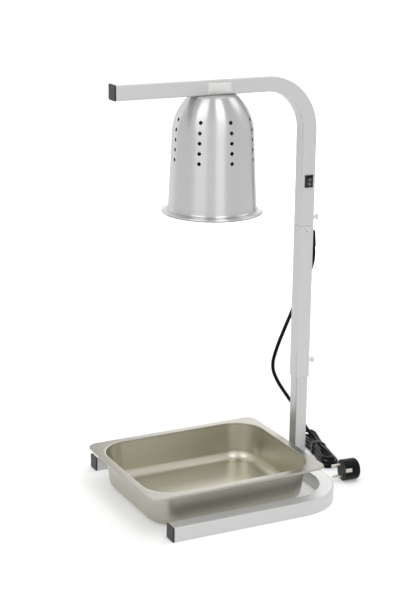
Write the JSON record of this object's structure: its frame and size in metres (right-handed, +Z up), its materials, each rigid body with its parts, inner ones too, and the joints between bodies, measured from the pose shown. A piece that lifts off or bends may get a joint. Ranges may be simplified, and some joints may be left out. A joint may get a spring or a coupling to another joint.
{
  "type": "food heat lamp",
  "caption": "Free-standing buffet heat lamp: bell-shaped metal shade hung from a height-adjustable square post over a shallow food pan, with a rocker switch and mains cord.",
  "frame": {"origin": "on the table, where the post's axis meets the underside of the base's crossbar", "axes": "+Z up along the post, -Y to the front where the arm reaches over the pan, +X to the side with the switch"},
  "size_m": [0.345, 0.4507, 0.7014],
  "materials": {
    "satin_aluminium": "satin, clear coated",
    "spun_aluminium": "spun and brushed",
    "zinc_plated_steel": "bright zinc plate",
    "stainless_steel": "satin, deep drawn",
    "cap_plastic": "fine matt",
    "switch_plastic": "fine matt",
    "black_rubber": "dull",
    "tie_fabric": "hook and loop strap",
    "nickel_brass": "nickel plated",
    "ceramic": "white, unglazed",
    "lamp_glass": "clear stippled pressed glass",
    "reflector_glass": "aluminised pressed glass",
    "wire_insulation": "silicone sleeve"
  },
  "bodies": {
    "base": {"base_frame": "satin_aluminium", "base_cap_left": "cap_plastic", "base_cap_right": "cap_plastic", "lower_post": "satin_aluminium", "post_foot_block": "satin_aluminium", "post_bolt": "zinc_plated_steel", "post_washer": "zinc_plated_steel", "cord_drop": "black_rubber", "cord_hank": "black_rubber", "cord_tie": "tie_fabric", "cord_tail": "black_rubber", "plug_body": "black_rubber", "plug_pins": "nickel_brass", "plug_earth_clips": "nickel_brass"},
    "mast": {"middle_post": "satin_aluminium", "joint_stub": "satin_aluminium", "stub_rivets": "zinc_plated_steel", "mast_clamp_boss": "satin_aluminium", "cord_boot": "black_rubber", "feed_wires": "wire_insulation"},
    "arm": {"arm_tube": "satin_aluminium", "arm_cap": "cap_plastic", "arm_clamp_boss": "satin_aluminium", "switch_housing": "switch_plastic", "switch_terminals": "nickel_brass", "lamp_wires": "wire_insulation", "shade": "spun_aluminium", "shade_skirt": "spun_aluminium", "lamp_nipple": "zinc_plated_steel", "nipple_nuts": "zinc_plated_steel", "nipple_washers": "zinc_plated_steel", "lamp_holder": "ceramic", "holder_shell": "nickel_brass", "holder_contact": "nickel_brass", "lamp_cap": "nickel_brass", "lamp_reflector": "reflector_glass", "lamp_lens": "lamp_glass"},
    "mast_screw": {"mast_clamp_screw": "zinc_plated_steel"},
    "arm_screw": {"arm_clamp_screw": "zinc_plated_steel"},
    "rocker": {"switch_rocker": "switch_plastic"},
    "pan": {"gn_pan": "stainless_steel"}
  },
  "joints": [
    {"name": "mast_height", "type": "slide", "parent": "base", "child": "mast", "axis": [0, 0, 1], "range_m": [-0.15, 0.02], "deforming": ["cord_drop"]},
    {"name": "arm_lift", "type": "slide", "parent": "mast", "child": "arm", "axis": [0, 0, 1], "range_m": [0, 0.03], "deforming": ["feed_wires"]},
    {"name": "mast_clamp_turn", "type": "hinge", "parent": "mast", "child": "mast_screw", "pos_m": [0, 0.02, 0.205], "axis": [0, 1, 0], "range_deg": [0, 720]},
    {"name": "arm_clamp_turn", "type": "hinge", "parent": "arm", "child": "arm_screw", "pos_m": [0, 0.02, 0.4585], "axis": [0, 1, 0], "range_deg": [0, 720]},
    {"name": "rocker_tip", "type": "hinge", "parent": "arm", "child": "rocker", "pos_m": [0.0115, 0, 0.5235], "axis": [0, 1, 0], "range_deg": [-18, 0]},
    {"name": "pan_lift", "type": "slide", "parent": "base", "child": "pan", "axis": [0, 0, 1], "range_m": [0, 0.15]}
  ]
}
